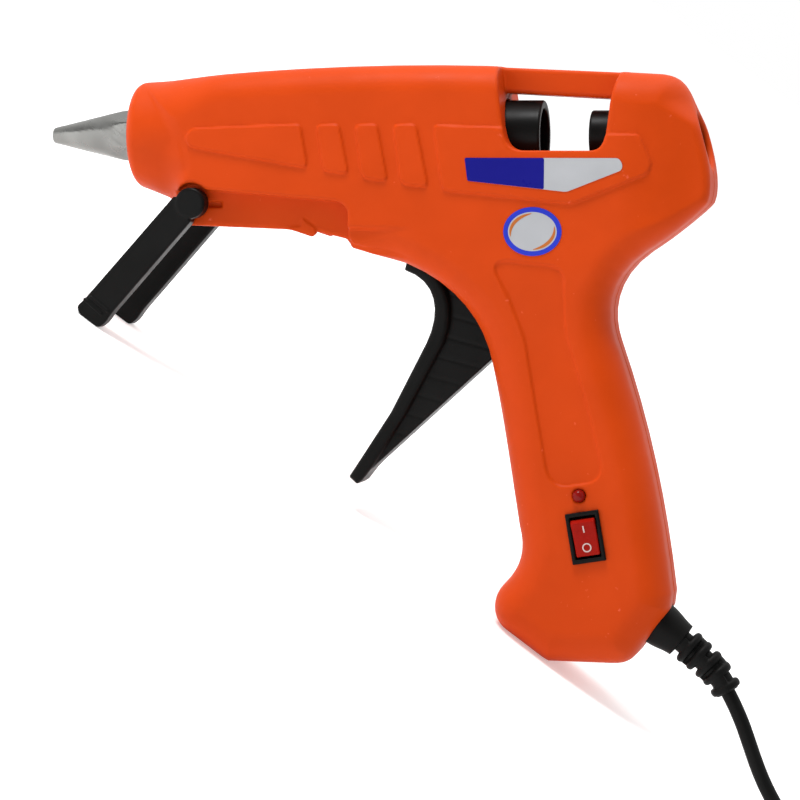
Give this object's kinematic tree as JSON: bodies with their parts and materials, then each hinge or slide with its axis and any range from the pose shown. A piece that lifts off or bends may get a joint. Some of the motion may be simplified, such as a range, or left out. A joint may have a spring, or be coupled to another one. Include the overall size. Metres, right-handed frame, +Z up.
{
  "type": "hot glue gun",
  "caption": "Hot glue gun standing on its fold-out legs: orange clamshell, metal nozzle, black trigger, rocker switch and a mains lead in a tied hank.",
  "frame": {"origin": "on the table, under the middle of the gun's box as it stands on its two legs and its heel", "axes": "+Z up from the table; +X from the nozzle towards the cord; -Y is the gun's left side, which carries the switch, the lamp and the labels"},
  "size_m": [0.4814, 0.0444, 0.1604],
  "materials": {
    "orange_shell": "satin injection-moulded orange plastic",
    "black_plastic": "satin black moulded plastic",
    "black_rubber": "soft black cord rubber",
    "nozzle_metal": "turned and nickel-plated",
    "cast_metal": "as-cast",
    "plated_steel": "zinc plated",
    "screw_steel": "dark zinc",
    "brass": "plain",
    "ceramic": "sintered ceramic",
    "amber_film": "amber insulating film",
    "silicone": "red-brown silicone",
    "label_film": "printed film, blue and silver",
    "sticker_film": "printed film with a blue ring",
    "rocker_red": "translucent red",
    "led_red": "red lens",
    "board_green": "circuit board",
    "resistor_tan": "lacquered",
    "lead_red": "silicone-covered wire",
    "lead_white": "glass-fibre-covered wire",
    "tie_grey": "soft strap"
  },
  "bodies": {
    "housing": {"nozzle": "nozzle_metal", "melt_chamber": "cast_metal", "front_insulator": "ceramic", "heater_plates": "cast_metal", "heater_insulation": "amber_film", "heater_clip": "plated_steel", "thermal_fuse": "ceramic", "inlet_sleeve": "silicone", "sleeve_clamp": "plated_steel", "trigger_pin": "plated_steel", "rear_guide": "black_plastic", "housing_left": "orange_shell", "housing_right": "orange_shell", "housing_screws": "screw_steel", "rating_label": "label_film", "inspection_sticker": "sticker_film", "switch_body": "black_plastic", "switch_terminals": "brass", "indicator_led": "led_red", "led_board": "board_green", "led_resistor": "resistor_tan", "heater_lead_live": "lead_red", "heater_lead_neutral": "lead_white", "switch_lead": "lead_red", "cord_clamp": "black_plastic", "clamp_screws": "screw_steel", "inner_cord": "black_rubber", "strain_relief": "black_rubber", "power_cord": "black_rubber", "cord_hank": "black_rubber", "cord_tie": "tie_grey", "cord_tail": "black_rubber", "plug_body": "black_rubber", "plug_pins": "plated_steel"},
    "trigger": {"trigger": "black_plastic", "drive_pin": "plated_steel", "trigger_spring": "plated_steel"},
    "carriage": {"feed_carriage": "black_plastic", "gripper_pin": "plated_steel"},
    "jaw": {"gripper_jaw": "plated_steel"},
    "rocker": {"switch_rocker": "rocker_red"},
    "stand": {"stand_leg_left": "black_plastic", "stand_leg_right": "black_plastic", "stand_axle": "plated_steel"}
  },
  "joints": [
    {"name": "trigger_hinge", "type": "hinge", "parent": "housing", "child": "trigger", "pos_m": [-0.01503, 0, 0.0792], "axis": [0, -1, 0], "range_deg": [0, 22], "stiffness_Nm_per_rad": 0.2, "springref_deg": -20.05},
    {"name": "carriage_slide", "type": "slide", "parent": "housing", "child": "carriage", "axis": [-0.8141, 0, -0.5807], "range_m": [0, 0.00763]},
    {"name": "jaw_hinge", "type": "hinge", "parent": "carriage", "child": "jaw", "pos_m": [-0.02651, 0, 0.12199], "axis": [0, 1, 0], "range_deg": [0, 10], "stiffness_Nm_per_rad": 0.002, "springref_deg": -5.73},
    {"name": "switch_hinge", "type": "hinge", "parent": "housing", "child": "rocker", "pos_m": [0.07218, -0.0143, 0.03822], "axis": [-0.7009, 0, -0.7133], "range_deg": [0, 17]},
    {"name": "stand_hinge", "type": "hinge", "parent": "housing", "child": "stand", "pos_m": [-0.08131, 0, 0.04727], "axis": [0, -1, 0], "range_deg": [0, 124]}
  ],
  "couplings": [
    {"joint": "trigger_hinge", "follows": "carriage_slide", "rad_per_m": 50.3}
  ]
}
